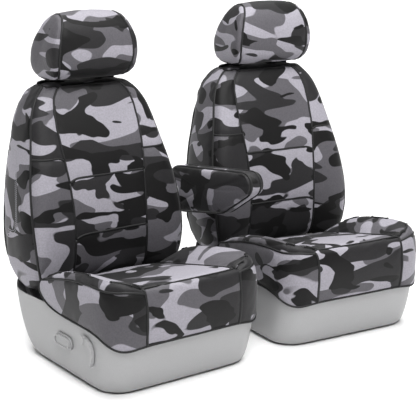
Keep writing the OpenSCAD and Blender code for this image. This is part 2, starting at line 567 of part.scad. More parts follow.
// Side outline of the armrest drawn in by d: three arcs and the lines that touch them
function arm_outline(d) = let (r = [for (v = arm_r) v - d],
    top = tangent(arm_c[0], r[0], arm_c[1], r[1], 1), low = tangent(arm_c[0], r[0], arm_c[2], r[2], -1),
    mid = tangent(arm_c[2], r[2], arm_c[1], r[1], -1))
    [each arc(arm_c[0], r[0], low - 360, top, 14), each arc(arm_c[1], r[1], top, mid, 8), each arc(arm_c[2], r[2], mid, low, 3)];
module arm_slab(x, t, d) translate([x, 0, 0]) rotate([90, 0, 90]) linear_extrude(t) polygon(arm_outline(d));
module pin_hole(x, t, r) across(x - 1, armrest_pivot_y, armrest_pivot_z, t + 2, r);
hub_r = armrest_pin_r + 5;
module left_armrest_core() color("#d8d2b8") let (x = armrest_x + foam_d, t = armrest_w - 2 * foam_d) difference() {
    arm_slab(x, t, foam_d);
    pin_hole(x, t, hub_r + touch);
}
module left_armrest_hub() color("#8a8d90") tube_across(armrest_x + 1, armrest_pivot_y, armrest_pivot_z,
                                                       armrest_w - cover_t - 6, hub_r, armrest_pin_r + pin_gap);
module left_armrest_side_panels() color(camo_mid) {
    difference() {
        arm_slab(armrest_x, cover_t, 1);
        pin_hole(armrest_x, cover_t, hub_r + touch);
    }
    arm_slab(armrest_x + armrest_w - cover_t, cover_t, 1);
}
module left_armrest_band() color(camo_light) let (x = armrest_x + cover_t + seam_gap, t = armrest_w - 2 * (cover_t + seam_gap))
    difference() {
        arm_slab(x, t, 0);
        arm_slab(x - 1, t + 2, cover_t);
    }
arm_plate_x = back_w / 2 * (curve(half_width_k, (armrest_pivot_z - back_z) / back_h) - .0444);
arm_boss_r = armrest_pin_r + 6;
module arm_pocket() translate([arm_plate_x - 6, armrest_pivot_y - 20, armrest_pivot_z - 20]) cube([60, 100, 40]);
module left_armrest_bracket() color(steel) {
    let (q = (armrest_pivot_z - hoop_foot.z) / (hoop_top.z - hoop_foot.z), p = mix(hoop_foot, hoop_top, q))
        difference() {
            union() {
                translate([p.x, p.y - 5, armrest_pivot_z - 18]) cube([arm_plate_x - p.x, 10, 36]);
                translate([arm_plate_x - 5, armrest_pivot_y, armrest_pivot_z - 18])
                    cube([5, p.y + 5 - armrest_pivot_y, 36]);
                across(arm_plate_x - 5, armrest_pivot_y, armrest_pivot_z, 5, 18);
                across(arm_plate_x - 5, armrest_pivot_y, armrest_pivot_z, armrest_x - touch - arm_plate_x + 5, arm_boss_r);
                across(arm_plate_x - 5, armrest_pivot_y, armrest_pivot_z, armrest_x + armrest_w - cover_t - 3 - arm_plate_x + 5,
                       armrest_pin_r);
            }
            rod(hoop_foot, hoop_top, tube_r + touch);
        }
}

// ---- Levers on the shroud's outer side ----

control_x = shroud_half;
lever_y = -111;
lever_z = 146;
knob_y = 0;
knob_z = 108;
// The lever's middle line, up and to the rear of its pivot
lever_line = [[0, -4], [1, -18], [-6, -33], [-19, -43], [-36, -46], [-53, -42], [-68, -36]];
module recline_lever() color(shroud_grey) translate([-control_x - touch, lever_y, lever_z]) rotate([0, -90, 0]) {
    cylinder(h = 12, r = 12);
    linear_extrude(9) polygon(let (n = len(lever_line) - 1, side = [for (i = [0:n])
        let (t = unit(lever_line[min(i + 1, n)] - lever_line[max(i - 1, 0)])) mix(9, 5, i / n) * [-t.y, t.x]])
        [for (i = [0:n]) lever_line[i] + side[i], for (i = [n:-1:0]) lever_line[i] - side[i]]);
}
knob_l = 92;
knob_w = 40;
module oval(h, l, w) {
    for (s = [-1, 1]) translate([0, s * (l - w) / 2, 0]) cylinder(h = h, r = w / 2);
    translate([-w / 2, (w - l) / 2, 0]) cube([w, l - w, h]);
}
module lumbar_knob() color(shroud_grey) translate([-control_x - touch, knob_y, knob_z]) rotate([0, -90, 0])
    union() {
        cylinder(h = 3, r = 17);
        translate([0, 0, 2]) difference() {
            union() {
                oval(5, knob_l, knob_w);
                oval(12, knob_l - 10, knob_w - 10);
            }
            translate([0, 0, 9]) oval(5, knob_l - 18, knob_w - 18);
        }
    }

// ---- Placing the nodes ----

// Middle of the pair's outline in plan, so that the origin lies under it
right_c = [seat_pitch, back_face - right_forward];
side_rear = pivot_y - 5 - back_face;
rear_reach = pivot_y + back_reach + 2 - back_face;
pair_x = [-back_w / 2, right_c.x + back_w / 2 * cos(right_turn) + side_rear * sin(right_turn)];
pair_y = [right_c.y - (cushion_front + back_face) * cos(right_turn)
          - (cushion_half - cushion_corner_r) * sin(right_turn),
          right_c.y + rear_reach * cos(right_turn) + back_w * .29 * sin(right_turn)];
origin = [(pair_x[0] + pair_x[1]) / 2, (pair_y[0] + pair_y[1]) / 2, 0];
module place(side) translate(-origin) {
    if (side == "left_") children();
    else translate(right_c) rotate(-right_turn) translate([0, -back_face, 0]) mirror([1, 0, 0]) children();
}
module part(name, side) {
    if (name == "floor_rails") floor_rails();
    if (name == "slide_runners") slide_runners();
    if (name == "seat_frame") seat_frame();
    if (name == "base_shroud") base_shroud();
    if (name == "cushion_foam") cushion_foam();
    if (name == "cushion_tuck_rod") cushion_tuck_rod();
    if (name == "cushion_seat_panel") cushion_seat_panel();
    if (name == "cushion_bolster_panels") cushion_bolster_panels();
    if (name == "cushion_welt_strips") cushion_welt_strips();
    if (name == "cushion_side_panels") cushion_side_panels();
    if (name == "cushion_front_panel") cushion_front_panel();
    if (name == "recliner_brackets") recliner_brackets();
    if (name == "recliner_shaft") recliner_shaft();
    if (name == "back_frame") back_frame();
    if (name == "back_foam") difference() {
        back_foam();
        if (side == "left_") arm_pocket();
    }
    if (name == "back_insert_panels") back_insert_panels();
    if (name == "back_bolster_panels") back_bolster_panels();
    if (name == "back_side_panels") difference() {
        back_side_panels();
        if (side == "left_") across(0, armrest_pivot_y, armrest_pivot_z, back_w, arm_boss_r + soft_gap);
    }
    if (name == "back_rear_panel") back_rear_panel();
    if (name == "headrest_guides") headrest_guides();
    if (name == "headrest_posts") headrest_posts();
    if (name == "headrest_core") headrest_core();
    if (name == "headrest_wrap") headrest_wrap();
    if (name == "headrest_end_panels") headrest_end_panels();
    if (name == "recline_lever") recline_lever();
    if (name == "lumbar_knob") lumbar_knob();
}
for (side = ["left_", "right_"], piece = PIECES)
    place(side) part(piece, side);
place("left_") left_armrest_bracket();
place("left_") left_armrest_hub();
place("left_") left_armrest_core();
place("left_") left_armrest_side_panels();
place("left_") left_armrest_band();
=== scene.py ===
import json
import math

import bmesh
import bpy
import numpy as np
from bpy.props import FloatProperty, FloatVectorProperty, IntProperty, PointerProperty
from mathutils import Matrix, Vector, noise
from mathutils.bvhtree import BVHTree
from mathutils.kdtree import KDTree


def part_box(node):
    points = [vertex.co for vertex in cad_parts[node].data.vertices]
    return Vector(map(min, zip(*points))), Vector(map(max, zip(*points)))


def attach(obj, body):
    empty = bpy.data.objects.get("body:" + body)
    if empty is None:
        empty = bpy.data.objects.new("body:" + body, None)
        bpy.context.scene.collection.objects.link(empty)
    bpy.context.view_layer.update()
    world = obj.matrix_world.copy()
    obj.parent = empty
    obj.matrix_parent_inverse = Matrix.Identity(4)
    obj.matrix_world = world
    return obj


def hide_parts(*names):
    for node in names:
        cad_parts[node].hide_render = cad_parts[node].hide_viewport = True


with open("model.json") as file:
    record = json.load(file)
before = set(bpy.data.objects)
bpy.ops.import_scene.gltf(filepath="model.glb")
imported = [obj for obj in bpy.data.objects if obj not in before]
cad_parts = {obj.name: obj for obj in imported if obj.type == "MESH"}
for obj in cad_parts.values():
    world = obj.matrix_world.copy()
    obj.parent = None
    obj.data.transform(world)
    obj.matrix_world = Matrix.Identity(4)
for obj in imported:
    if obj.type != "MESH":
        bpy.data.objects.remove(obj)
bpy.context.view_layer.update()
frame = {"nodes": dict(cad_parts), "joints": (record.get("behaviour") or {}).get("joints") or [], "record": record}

bl_info = {
    "name": "Camouflage Seat Cover Set",
    "version": (1, 0, 0),
    "blender": (4, 5, 0),
    "location": "3D Viewport > Sidebar > Seat Covers",
    "description": "Dresses a pair of bucket seats in padded camouflage covers with piping and sewn seams",
    "category": "Object",
}

# ---- The photograph's camera and image points ----

PHOTO_W, PHOTO_H = 418, 407
SENSOR = 36.0
CAMERA = {
    "place": Vector((-2.1023, -2.8231, 1.2838)),
    "heading": math.radians(36.0),
    "pitch": math.radians(-13.9),
    "lens": 1163.0 * SENSOR / PHOTO_W,
}
# Edges of the whole object, then features, each with the cover whose seams meet there. The two places of the
# stitching on the backrest's side carry that stitching.
IMAGE_POINTS = {
    "left headrest top": (57.9, 14.3, "left_headrest_cover"),
    "right headrest top": (240.6, 4.3, "right_headrest_cover"),
    "left backrest upper seam": (69.9, 183.4, "left_backrest_cover"),
    "left backrest lower seam": (76.3, 239.8, "left_backrest_cover"),
    "right backrest upper seam": (312.9, 149.1, "right_backrest_cover"),
    "right backrest lower seam": (317.3, 200.4, "right_backrest_cover"),
    "left cushion front corner": (145.4, 287.2, "left_cushion_cover"),
    "left cushion inner corner": (234.7, 268.5, "left_cushion_cover"),
    "right cushion front corner": (314.2, 250.3, "right_cushion_cover"),
    "right cushion inner corner": (393.3, 236.5, "right_cushion_cover"),
    "left front hem": (147.4, 346.4, "left_cushion_cover"),
    "right front hem": (317.7, 302.7, "right_cushion_cover"),
    "side stitching top": (17.0, 160.0, "left_backrest_stitching"),
    "side stitching bottom": (16.5, 225.0, "left_backrest_stitching"),
}
# Filled in while the pieces are made: for each cover, the places where its seams or hems meet and where
# each seam is highest, and the two ends of the stitching
MEETINGS = {}
MATERIALS = {}

SIDES = ("left", "right")
CUSHION_COVER = ("cushion_seat_panel", "cushion_bolster_panels", "cushion_welt_strips", "cushion_side_panels",
                 "cushion_front_panel")
BACK_COVER = ("back_insert_panels", "back_bolster_panels", "back_side_panels", "back_rear_panel")
HEAD_COVER = ("headrest_wrap", "headrest_end_panels")
# Seams that carry a round cord under the fabric; every other seam is a plain sewn one
PIPED = ({"cushion_bolster_panels", "cushion_welt_strips"}, {"cushion_side_panels", "cushion_front_panel"},
         {"cushion_welt_strips", "cushion_front_panel"}, {"back_bolster_panels", "back_side_panels"},
         {"back_side_panels", "back_rear_panel"}, {"armrest_side_panels", "armrest_band"})
MM = 0.001


# ---- Sizes and colours ----

def colour_setting(name, description, default):
    return FloatVectorProperty(name=name, description=description, subtype="COLOR", size=3, min=0.0, max=1.0,
                               default=default)


def length_setting(name, description, default, least, most):
    return FloatProperty(name=name, description=description, unit="LENGTH", min=least, max=most,
                         default=default)


class FabricSettings(bpy.types.PropertyGroup):
    light: colour_setting("Light Grey", "Palest grey of the printed camouflage", (0.555, 0.545, 0.575))
    middle: colour_setting("Middle Grey", "Middle grey of the printed camouflage", (0.315, 0.308, 0.325))
    dark: colour_setting("Dark Grey", "Dark grey of the printed camouflage", (0.125, 0.122, 0.128))
    black: colour_setting("Black", "Darkest blotches of the printed camouflage", (0.038, 0.036, 0.038))
    blotch: length_setting("Blotch Length", "Usual length of one camouflage blotch", 0.20, 0.05, 0.5)
    thread: length_setting("Knit Spacing", "Distance between the ribs of the knitted face",
                           0.0016, 0.0003, 0.01)


class CoverSettings(bpy.types.PropertyGroup):
    swell: length_setting("Swell", "Most that a panel stands proud of its seams", 0.009, 0.0, 0.03)
    pressure: FloatProperty(name="Pad Pressure", description="Pressure of the pad against the cover", min=0.0,
                            max=20.0, default=4.0)
    frames: IntProperty(name="Settling Steps", description="Steps for which the cover settles over its pad",
                        min=1, max=60, default=18)
    crease: length_setting("Crease", "Depth to which the thread pulls a seam in", 0.0026, 0.0, 0.004)
    wrinkle: length_setting("Pucker", "Height of the small folds beside a seam", 0.0016, 0.0, 0.01)


class SeamSettings(bpy.types.PropertyGroup):
    piping: length_setting("Piping Radius", "Radius of the covered cord in a piped seam",
                           0.0039, 0.0005, 0.01)
    # Radius of the dark line drawn in a plain seam's groove: painted shade
    plain: length_setting("Seam Radius", "Half of the width of a plain sewn seam's groove",
                          0.0034, 0.0003, 0.005)
    stitch: length_setting("Stitch Length", "Length of one stitch of topstitching", 0.006, 0.001, 0.02)


# ---- Colours and node graphs ----

def linear(value):
    """sRGB hex, or three sRGB numbers, as a linear colour."""
    if isinstance(value, str):
        value = [int(value.lstrip("#")[i:i + 2], 16) / 255 for i in (0, 2, 4)]
    return tuple(c / 12.92 if c <= 0.04045 else ((c + 0.055) / 1.055) ** 2.4 for c in value) + (1.0,)


def add(tree, kind, inputs=None, **settings):
    """Adds a node, sets its properties, and links or sets its inputs."""
    made = tree.nodes.new(kind)
    for name, value in settings.items():
        setattr(made, name, value)
    for name, value in (inputs or {}).items():
        if isinstance(value, bpy.types.NodeSocket):
            tree.links.new(value, made.inputs[name])
        else:
            made.inputs[name].default_value = value
    return made


def new_material(name, **shader):
    """A material with its Principled shader's constant sockets set."""
    material = bpy.data.materials.new(name)
    material.use_nodes = True
    surface = material.node_tree.nodes["Principled BSDF"]
    for socket, value in shader.items():
        surface.inputs[socket.replace("_", " ")].default_value = value
    return material, material.node_tree, surface


def blend(tree, factor, low, high):
    """Mixes two colours, each a value or a socket."""
    return add(tree, "ShaderNodeMix", {0: factor, 6: low, 7: high}, data_type="RGBA").outputs[2]


def roughen(tree, surface, height, strength, distance):
    """Gives the shader a bump from a height."""
    bump = add(tree, "ShaderNodeBump", {"Height": height, "Strength": strength, "Distance": distance})
    tree.links.new(bump.outputs[0], surface.inputs["Normal"])


# Each layer printed over the light grey: its colour, the shift of its pattern, how far its edges wander,
# the level of the noise above which it prints, and how fine its blotches are
PRINT_LAYERS = (("middle", (3.1, 7.7, 1.3), 0.7, 0.505, 1.00), ("dark", (11.9, 2.3, 8.1), 0.8, 0.535, 1.10),
                ("black", (5.3, 13.1, 4.7), 1.0, 0.575, 1.30))
# Half of the step in the noise over which a layer fades in
PRINT_EDGE = 0.004
# Blotches are longest across the cloth and shortest up it
BLOTCH_SHAPE = (1.0, 1.15, 2.0)


def camouflage_neoprene():
    """Neoprene foam laminated with a printed polyester knit: a matt face with a soft sheen at grazing
    angles."""
    fabric = bpy.context.scene.cover_fabric
    material, tree, surface = new_material("camouflage_neoprene", Roughness=0.56, IOR=1.45,
                                           Specular_IOR_Level=0.24, Sheen_Weight=0.10, Sheen_Roughness=0.42)
    place = add(tree, "ShaderNodeAttribute", attribute_name="print_place").outputs["Vector"]
    size = 1 / fabric.blotch
    colour = linear(fabric.light)
    for tint, shift, wander, level, scale in PRINT_LAYERS:
        moved = add(tree, "ShaderNodeMapping", {"Vector": place, "Location": shift,
                                                "Scale": [size * share for share in BLOTCH_SHAPE]})
        cells = add(tree, "ShaderNodeTexNoise", {"Vector": moved.outputs[0], "Scale": scale, "Detail": 1.2,
                                                 "Roughness": 0.40, "Distortion": wander})
        cut = add(tree, "ShaderNodeMapRange", {"Value": cells.outputs[0], "From Min": level - PRINT_EDGE,
                                               "From Max": level + PRINT_EDGE}, clamp=True)
        colour = blend(tree, cut.outputs[0], colour, linear(getattr(fabric, tint)))
    # Ribs of the knit, drawn about as coarse as the picture can show
    ribs = add(tree, "ShaderNodeTexNoise", {"Vector": place, "Scale": 1 / (fabric.thread * 3), "Detail": 2.0})
    worn = add(tree, "ShaderNodeMapRange", {"Value": ribs.outputs[0], "From Min": 0.3, "From Max": 0.7,
                                            "To Min": 0.90, "To Max": 1.10})
    grained = add(tree, "ShaderNodeVectorMath", {0: colour, "Scale": worn.outputs[0]}, operation="SCALE")
    tree.links.new(grained.outputs[0], surface.inputs["Base Color"])
    knit = add(tree, "ShaderNodeTexVoronoi", {"Vector": place, "Scale": 1 / (fabric.thread * 2)})
    roughen(tree, surface, knit.outputs["Distance"], 0.10, 0.0008)
    return material


def mottled(name, low, high, scale, bump, detail=4.0, grain=0.6, strength=0.3, **shader):
    """A plain finish whose colour and surface vary at a real scale, in cells per metre, with a bump in
    metres."""
    material, tree, surface = new_material(name, **shader)
    place = add(tree, "ShaderNodeTexCoord").outputs["Object"]
    cells = add(tree, "ShaderNodeTexNoise", {"Vector": place, "Scale": scale, "Detail": detail,
                                             "Roughness": grain})
    tint = blend(tree, cells.outputs[0], linear(low), linear(high))
    tree.links.new(tint, surface.inputs["Base Color"])
    roughen(tree, surface, cells.outputs[0], strength, bump)
    return material


def polyester_thread():
    """Twisted polyester sewing thread: pale, with a soft shine."""
    material, _, surface = new_material("polyester_thread", Roughness=0.45, IOR=1.5)
    surface.inputs["Base Color"].default_value = linear("#8f8f94")
    return material


def make_materials():
    """Every material by its name here, which for the frame's rigid pieces is the record's slot."""
    return {
        "thread": polyester_thread(),
        "camouflage_neoprene": camouflage_neoprene(),
        # Black vinyl over a cord: darker than the cloth, with a fine grain. The same black drawn along the plain
        # seams is painted shade in their grooves
        "piping": mottled("black_piping_vinyl", "#070708", "#101011", 700.0, 0.4 * MM, detail=2.0, grain=0.5,
                          strength=0.15, Roughness=0.6, IOR=1.45),
        # Open-cell polyurethane foam: chalky, with pores of about a millimetre
        "moulded_foam": mottled("polyurethane_foam", "#6f6e6c", "#838280", 900.0, 0.6 * MM,
                                Roughness=0.95, IOR=1.4),
        # Moulded polypropylene: an even satin with a fine spark-eroded grain
        "grey_plastic": mottled("moulded_polypropylene", "#949495", "#a0a0a1", 350.0, 0.12 * MM,
                                Roughness=0.46, IOR=1.49),
        "black_plastic": mottled("moulded_nylon", "#161617", "#222223", 500.0, 0.1 * MM,
                                 Roughness=0.4, IOR=1.53),
        # Powder coat on steel: a faint orange-peel texture
        "painted_steel": mottled("powder_coated_steel", "#8c8d8f", "#98999b", 450.0, 0.15 * MM,
                                 Roughness=0.42, IOR=1.5),
        # Zinc-plated steel: bright, slightly cloudy metal
        "bright_steel": mottled("zinc_plated_steel", "#9b9ca0", "#bdbec2", 120.0, 0.03 * MM,
                                Metallic=1.0, Roughness=0.28),
    }


# ---- Meshes from the frame's panels ----

def pair_map():
    """Lays the left seat over to the right one, its mirror image. Their recline joints match."""
    joints = {j["name"]: j for j in frame["joints"]}
    left, right = joints["left_recline"], joints["right_recline"]
    turn = math.atan2(-right["axis"][1], -right["axis"][0])
    return (Matrix.Translation(right["pos_m"]) @ Matrix.Rotation(turn, 4, "Z")
            @ Matrix.Diagonal((-1, 1, 1, 1)) @ Matrix.Translation(-Vector(left["pos_m"])))


def node_mesh(node):
    """The node's solids with joined corners, as a bmesh."""
    bm = bmesh.new()
    bm.from_mesh(frame["nodes"][node].data)
    bmesh.ops.remove_doubles(bm, verts=bm.verts, dist=0.02 * MM)
    bmesh.ops.recalc_face_normals(bm, faces=bm.faces)
    return bm


def tree_of(node):
    """The node's solids as a tree for rays and nearest places."""
    bm = node_mesh(node)
    made = BVHTree.FromBMesh(bm)
    bm.free()
    return made


def islands(faces, bend=math.pi):
    """Groups of faces joined by edges that bend by less than that angle."""
    left, groups = dict.fromkeys(faces), []
    while left:
        group, front = [], [left.popitem()[0]]
        while front:
            face = front.pop()
            group.append(face)
            flat_edges = (edge for edge in face.edges if edge.calc_face_angle(0) < bend)
            for near in (f for edge in flat_edges for f in edge.link_faces if f in left):
                del left[near]
                front.append(near)
        groups.append(group)
    return groups


# A panel's wall: the sharpest bend inside it, how far behind it the other wall lies at most, in
# thicknesses, and how much of it has the other wall there
WALL_BEND = math.radians(58)
WALL_REACH = 1.9
WALL_SHARE = 0.6


def outer_skin(node, pad, thickness):
    """The outer face of each sewn panel in the node, as points and faces. A panel's two walls are smooth
    and lie a cover's thickness apart, which its edges don't, and the outer wall looks away from the pad."""
    bm = node_mesh(node)
    tree = BVHTree.FromBMesh(bm)
    skins = []
    for solid in islands(bm.faces):
        outer = []
        for group in islands(solid, WALL_BEND):
            area = thin = away = 0.0
            for face in group:
                size, middle = face.calc_area(), face.calc_center_median()
                area += size
                hit = tree.ray_cast(middle - face.normal * 0.0004, -face.normal, thickness * WALL_REACH)
                thin += size if hit[0] is not None else 0.0
                away += size * face.normal.dot(middle - pad.find_nearest(middle)[0])
            if thin > area * WALL_SHARE and away > 0:
                outer.extend(group)
        index = {v: i for i, v in enumerate(dict.fromkeys(v for f in outer for v in f.verts))}
        if index:
            skins.append(([v.co.copy() for v in index], [[index[v] for v in f.verts] for f in outer]))
    bm.free()
    return skins


def join_quads(bm):
    """Joins the solids' triangles back into the four-sided faces that they were cut from."""
    bmesh.ops.join_triangles(bm, faces=bm.faces, angle_face_threshold=math.radians(70),
                             angle_shape_threshold=math.radians(80))


# Widest gaps that are sewn shut: between the corners of two panels, and between two open edges
CORNER_GAP = 1.3 * MM
EDGE_GAP = 10.5 * MM


def sewn_shell(nodes, pad_node, thickness=5 * MM):
    """One shell from the outer faces of the right seat's panels, laid over to the left seat and joined along
    their seams, and each panel's node. Each face knows its panel."""
    pad = tree_of(f"right_{pad_node}")
    back = pair_map().inverted()
    bm = bmesh.new()
    panel = bm.faces.layers.int.new("panel")
    names = []
    for node in nodes:
        for points, faces in outer_skin(f"right_{node}", pad, thickness):
            verts = [bm.verts.new(back @ p) for p in points]
            made = [bm.faces.new([verts[i] for i in face]) for face in faces]
            for face in made:
                face[panel] = len(names)
            names.append(node)
    join_quads(bm)
    bmesh.ops.remove_doubles(bm, verts=bm.verts, dist=CORNER_GAP)
    bmesh.ops.remove_doubles(bm, verts=[v for v in bm.verts if v.is_boundary], dist=EDGE_GAP)
    bmesh.ops.recalc_face_normals(bm, faces=bm.faces)
    return bm, names


def to_object(bm, name, material):
    """Turns a bmesh into a smooth object of the scene, and frees it."""
    mesh = bpy.data.meshes.new(name)
    bm.to_mesh(mesh)
    bm.free()
    made = bpy.data.objects.new(name, mesh)
    bpy.context.scene.collection.objects.link(made)
    mesh.materials.append(MATERIALS[material])
    mesh.shade_smooth()
    return made


def apply_modifiers(obj):
    """Replaces the object's mesh by what its modifiers make of it."""
    graph = bpy.context.evaluated_depsgraph_get()
    graph.update()
    mesh = bpy.data.meshes.new_from_object(obj.evaluated_get(graph), preserve_all_data_layers=True,
                                           depsgraph=graph)
    old, obj.data = obj.data, mesh
    obj.modifiers.clear()
    bpy.data.meshes.remove(old)
    return obj


def subdivide(obj, levels):
    """Rounds the object by whole levels of subdivision."""
    made = obj.modifiers.new("Fine", "SUBSURF")
    made.levels = made.render_levels = levels
    made.boundary_smooth = "PRESERVE_CORNERS"
    return apply_modifiers(obj)


def coordinates(mesh):
    """The mesh's vertices as rows of X, Y and Z."""
    flat = np.empty(len(mesh.vertices) * 3, dtype=np.float64)
    mesh.vertices.foreach_get("co", flat)
    return flat.reshape(-1, 3)


def seam_edges(mesh):
    """Edges between two panels, as {edge: (panel, panel)}, and the open edges."""
    panel = [d.value for d in mesh.attributes["panel"].data]
    sides = {}
    for face in mesh.polygons:
        for key in face.edge_keys:
            sides.setdefault(key, []).append(panel[face.index])
    seams = {k: tuple(sorted(v)) for k, v in sides.items() if len(v) == 2 and v[0] != v[1]}
    hems = [k for k, v in sides.items() if len(v) == 1]
    return seams, hems


def held_verts(mesh):
    """The vertices along seams and hems, which the thread holds."""
    seams, hems = seam_edges(mesh)
    return sorted({v for k in list(seams) + hems for v in k})


# Light cloth, stiff enough to swell without stretching much
CLOTH = {"quality": 6, "mass": 0.3, "vertex_group_mass": "held", "use_pressure": True,
         "tension_stiffness": 18, "compression_stiffness": 18, "shear_stiffness": 18,
         "bending_stiffness": 2.0}


def swell(obj, held):
    """Runs the cloth over its pad's pressure, held along its seams, and keeps the result as the object's
    mesh."""
    cover = bpy.context.scene.cover_sizes
    scene = bpy.context.scene
    obj.vertex_groups.new(name="held").add(held, 1.0, "REPLACE")
    cloth = obj.modifiers.new("Cloth", "CLOTH")
    for name, value in CLOTH.items():
        setattr(cloth.settings, name, value)
    cloth.settings.uniform_pressure_force = cover.pressure
    cloth.settings.effector_weights.gravity = 0
    cloth.collision_settings.use_collision = False
    cloth.point_cache.frame_start = 1
    cloth.point_cache.frame_end = cover.frames
    for step in range(1, cover.frames + 1):
        scene.frame_set(step)
    apply_modifiers(obj)
    scene.frame_set(1)
    obj.vertex_groups.clear()


def settle(obj, held):
    """Lets the cover swell over its pad, and caps how far it moves."""
    most = bpy.context.scene.cover_sizes.swell
    rest = coordinates(obj.data)
    swell(obj, held)
    moved = coordinates(obj.data) - rest
    far = np.linalg.norm(moved, axis=1)
    limit = most * np.tanh(far / most) / np.maximum(far, 1e-9)
    obj.data.vertices.foreach_set("co", (rest + moved * limit[:, None]).ravel())
    obj.data.update()


# How far from a seam its folds are deepest, over what width they fade and where they reach full height;
# over what widths the unevenness starts and the crease ends, in metres; and how many folds and slow waves
# go to a metre
FOLD_PLACE, FOLD_WIDTH, FOLD_START = 0.012, 0.016, 0.006
SLOW_START, CREASE_WIDTH = 0.03, 0.009
FOLD_RATE, SLOW_RATE = 38.0, 8.5
SLOW_SHARE = 1.3


def pucker(obj, held, depth):
    """The crease along each seam, small folds beside it and a slow unevenness over the pad."""
    crease = bpy.context.scene.cover_sizes.crease
    mesh = obj.data
    places = coordinates(mesh)
    tree = KDTree(len(held))
    for i, v in enumerate(held):
        tree.insert(places[v], i)
    tree.balance()
    normals = np.empty(len(mesh.vertices) * 3)
    mesh.vertices.foreach_get("normal", normals)
    normals = normals.reshape(-1, 3)
    for i, p in enumerate(places):
        near = tree.find(p)[2]
        beside = math.exp(-((near - FOLD_PLACE) / FOLD_WIDTH) ** 2) * min(1.0, near / FOLD_START)
        folds = noise.noise(Vector(p) * FOLD_RATE) * beside * depth
        slow = noise.noise(Vector(p) * SLOW_RATE) * min(1.0, near / SLOW_START) * depth * SLOW_SHARE
        places[i] = p + normals[i] * (folds + slow - crease * math.exp(-(near / CREASE_WIDTH) ** 2))
    mesh.vertices.foreach_set("co", places.ravel())
    mesh.update()


def roll_place(panel, seed, reach=0.9):
    """Where on the roll of cloth a panel is cut from, up to a reach in metres either way."""
    return np.array([math.sin(panel * 12.9 + seed) * reach, math.cos(panel * 7.3 + seed) * reach,
                     math.sin(panel * 3.7 + seed * 2) * reach])


def lay_print(obj, seed):
    """Stores where each corner lies on the printed cloth: panels are cut from different places of the
    roll."""
    mesh = obj.data
    numbers = [d.value for d in mesh.attributes["panel"].data]
    shifts = {number: roll_place(number, seed) for number in set(numbers)}
    layer = mesh.attributes.new("print_place", "FLOAT_VECTOR", "CORNER")
    values = np.empty((len(mesh.loops), 3))
    places = coordinates(mesh)
    for face in mesh.polygons:
        shift = shifts[numbers[face.index]]
        for loop in face.loop_indices:
            values[loop] = places[mesh.loops[loop].vertex_index] + shift
    layer.data.foreach_set("vector", values.ravel())


def chains(edges):
    """Orders loose edges into runs of vertices that end where three or more meet."""
    near = {}
    for a, b in edges:
        near.setdefault(a, []).append(b)
        near.setdefault(b, []).append(a)
    ends = [v for v, n in near.items() if len(n) != 2]
    used, runs = set(), []
    for start in ends + list(near):
        for after in near[start]:
            if frozenset((start, after)) in used:
                continue
            run = [start, after]
            used.add(frozenset((start, after)))
            while len(near[run[-1]]) == 2:
                onward = [v for v in near[run[-1]] if frozenset((run[-1], v)) not in used]
                if not onward:
                    break
                used.add(frozenset((run[-1], onward[0])))
                run.append(onward[0])
            runs.append(run)
    return runs


def sweep(bm, points, radius, sides=8, closed=False):
    """A round cord along points."""
    count = len(points)
    if count < 2:
        return
    rings, across = [], None
    for i in range(count):
        a = points[i - 1] if i or closed else points[0]
        b = points[(i + 1) % count] if i < count - 1 or closed else points[-1]
        along = (b - a).normalized()
        across = along.orthogonal() if across is None else across - along * across.dot(along)
        across.normalize()
        other = along.cross(across)
        rings.append([bm.verts.new(points[i] + (across * math.cos(t) + other * math.sin(t)) * radius)
                      for t in (2 * math.pi * k / sides for k in range(sides))])
    for i in range(count if closed else count - 1):
        a, b = rings[i], rings[(i + 1) % count]
        for k in range(sides):
            bm.faces.new((a[k], a[(k + 1) % sides], b[(k + 1) % sides], b[k]))
    if not closed:
        bm.faces.new(rings[0][::-1])
        bm.faces.new(rings[-1])


def smoothed(points, closed, times=2):
    """The same run of points with its corners eased and its open ends kept."""
    for _ in range(times):
        n = len(points)
        points = [p if not closed and i in (0, n - 1) else (points[i - 1] + p * 2 + points[(i + 1) % n]) / 4
                  for i, p in enumerate(points)]
    return points


def seam_cords(obj, names, name):
    """Piping along the piped seams, a black line of painted shade in the groove of each plain sewn seam, and a
    slightly thinner bound edge on its open hems.
    """
    sizes = bpy.context.scene.cover_seams
    mesh = obj.data
    seams, hems = seam_edges(mesh)
    where = [v.co.copy() for v in mesh.vertices]
    piped = [k for k, (a, b) in seams.items() if {names[a], names[b]} in PIPED]
    plain = [k for k in seams if k not in set(piped)]
    uses = {}
    for v in (v for key in list(seams) + hems for v in key):
        uses[v] = uses.get(v, 0) + 1
    tops = [max((where[v] for v in run), key=lambda p: p.z) for run in chains(list(seams))]
    MEETINGS[obj.name] = tops + [where[v] for v, count in uses.items() if count > 2]
    bm = bmesh.new()
    # Plain seams get the same black cord as the piping: painted shade in their grooves
    for edges, radius in ((piped, sizes.piping), (plain, sizes.plain), (hems, sizes.piping * 0.9)):
        for run in chains(edges):
            closed = run[0] == run[-1]
            points = [where[v] for v in (run[:-1] if closed else run)]
            sweep(bm, smoothed(points, closed), radius, closed=closed)
    return to_object(bm, name, "piping")


def dress(obj, body, nodes):
    """Makes the piece ride with its body and hides the frame's pieces that it stands for."""
    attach(obj, body)
    if nodes:
        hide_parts(*nodes)
    return obj


# Rings of the backrest's top cap, from its edge in: size as a share of the last ring's, and height over the
# edge
CAP_RINGS = ((0.90, 4.5 * MM), (0.55 / 0.90, 5.6 * MM))


